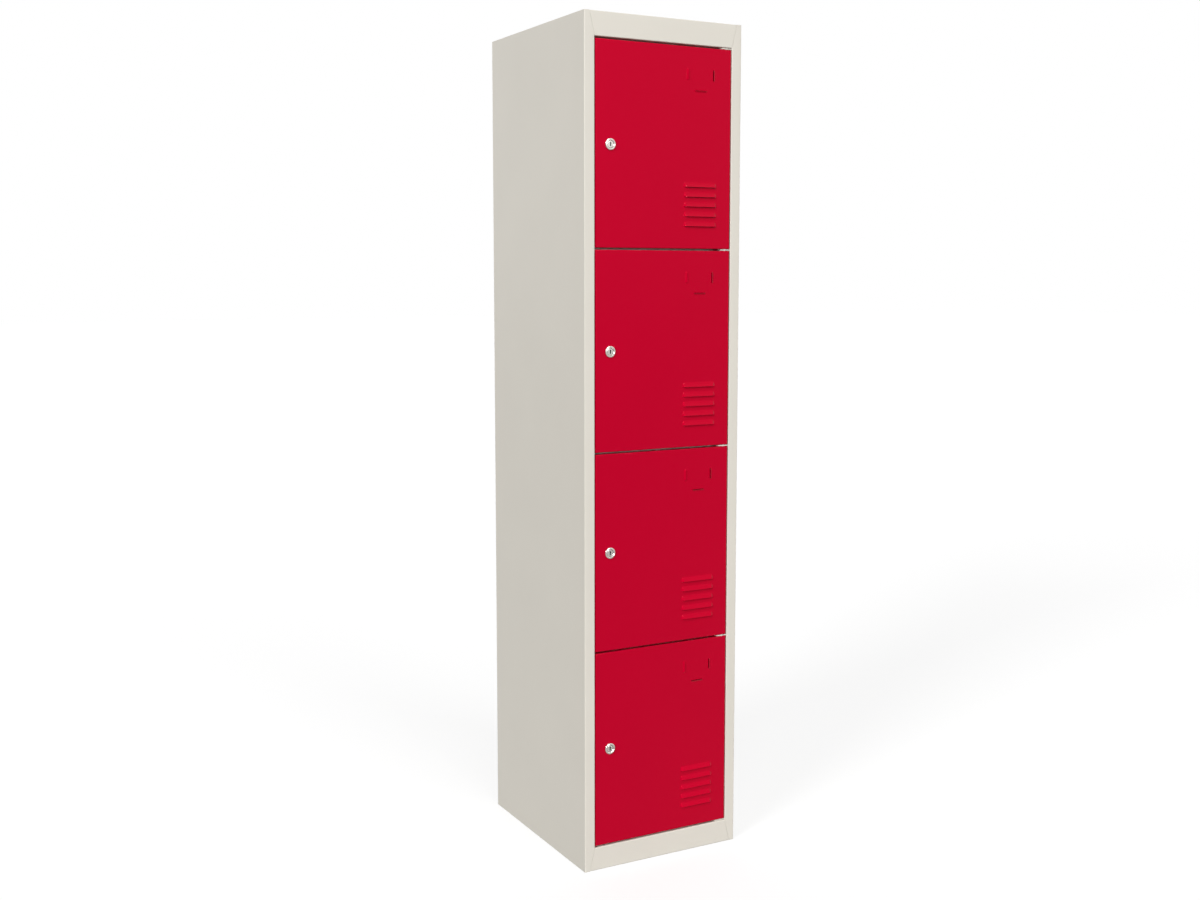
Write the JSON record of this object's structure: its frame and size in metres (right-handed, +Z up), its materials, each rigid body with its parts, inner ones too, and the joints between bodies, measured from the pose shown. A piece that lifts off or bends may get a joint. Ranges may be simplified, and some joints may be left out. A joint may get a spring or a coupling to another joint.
{
  "type": "locker",
  "caption": "Tall narrow steel locker with hinged folded doors one above the other, each with louvres, card lips and a cam lock, in a folded sheet cabinet with shelves.",
  "frame": {"origin": "on the floor, under the middle of the cabinet", "axes": "+Z up, the doors face -Y, the door hinges are on the +X side"},
  "size_m": [0.38, 0.454, 1.8],
  "materials": {
    "frame_paint": "satin light warm grey powder coat",
    "door_paint": "satin red powder coat",
    "zinc": "bright zinc plate, satin",
    "chrome": "polished",
    "nylon": "moulded natural nylon",
    "rubber": "moulded matt"
  },
  "bodies": {
    "cabinet": {"left_side_panel": "frame_paint", "right_side_panel": "frame_paint", "top_panel": "frame_paint", "bottom_panel": "frame_paint", "back_panel": "frame_paint", "shelf_1": "frame_paint", "shelf_2": "frame_paint", "shelf_3": "frame_paint", "hinge_plate_1": "frame_paint", "hinge_plate_2": "frame_paint", "hinge_plate_3": "frame_paint", "hinge_plate_4": "frame_paint", "hinge_plate_5": "frame_paint", "hinge_pin_1": "zinc", "hinge_pin_2": "zinc", "hinge_pin_3": "zinc", "hinge_pin_4": "zinc", "hinge_pin_5": "zinc", "door_buffer_1_lower": "rubber", "door_buffer_1_upper": "rubber", "door_buffer_2_lower": "rubber", "door_buffer_2_upper": "rubber", "door_buffer_3_lower": "rubber", "door_buffer_3_upper": "rubber", "door_buffer_4_lower": "rubber", "door_buffer_4_upper": "rubber"},
    "door_1": {"door_panel_1": "door_paint", "hinge_bush_1_lower": "nylon", "hinge_bush_1_upper": "nylon", "lock_body_1": "chrome", "lock_nut_1": "zinc"},
    "lock_1": {"lock_plug_1": "chrome", "lock_cam_1": "zinc", "cam_screw_1": "zinc"},
    "door_2": {"door_panel_2": "door_paint", "hinge_bush_2_lower": "nylon", "hinge_bush_2_upper": "nylon", "lock_body_2": "chrome", "lock_nut_2": "zinc"},
    "lock_2": {"lock_plug_2": "chrome", "lock_cam_2": "zinc", "cam_screw_2": "zinc"},
    "door_3": {"door_panel_3": "door_paint", "hinge_bush_3_lower": "nylon", "hinge_bush_3_upper": "nylon", "lock_body_3": "chrome", "lock_nut_3": "zinc"},
    "lock_3": {"lock_plug_3": "chrome", "lock_cam_3": "zinc", "cam_screw_3": "zinc"},
    "door_4": {"door_panel_4": "door_paint", "hinge_bush_4_lower": "nylon", "hinge_bush_4_upper": "nylon", "lock_body_4": "chrome", "lock_nut_4": "zinc"},
    "lock_4": {"lock_plug_4": "chrome", "lock_cam_4": "zinc", "cam_screw_4": "zinc"}
  },
  "joints": [
    {"name": "door_hinge_1", "type": "hinge", "parent": "cabinet", "child": "door_1", "pos_m": [0.153, -0.219, 0.054], "axis": [0, 0, 1], "range_deg": [0, 110]},
    {"name": "lock_turn_1", "type": "hinge", "parent": "door_1", "child": "lock_1", "pos_m": [-0.13, -0.225, 0.264], "axis": [0, 1, 0], "range_deg": [0, 90]},
    {"name": "door_hinge_2", "type": "hinge", "parent": "cabinet", "child": "door_2", "pos_m": [0.153, -0.219, 0.478], "axis": [0, 0, 1], "range_deg": [0, 110]},
    {"name": "lock_turn_2", "type": "hinge", "parent": "door_2", "child": "lock_2", "pos_m": [-0.13, -0.225, 0.688], "axis": [0, 1, 0], "range_deg": [0, 90]},
    {"name": "door_hinge_3", "type": "hinge", "parent": "cabinet", "child": "door_3", "pos_m": [0.153, -0.219, 0.902], "axis": [0, 0, 1], "range_deg": [0, 110]},
    {"name": "lock_turn_3", "type": "hinge", "parent": "door_3", "child": "lock_3", "pos_m": [-0.13, -0.225, 1.112], "axis": [0, 1, 0], "range_deg": [0, 90]},
    {"name": "door_hinge_4", "type": "hinge", "parent": "cabinet", "child": "door_4", "pos_m": [0.153, -0.219, 1.326], "axis": [0, 0, 1], "range_deg": [0, 110]},
    {"name": "lock_turn_4", "type": "hinge", "parent": "door_4", "child": "lock_4", "pos_m": [-0.13, -0.225, 1.536], "axis": [0, 1, 0], "range_deg": [0, 90]}
  ]
}
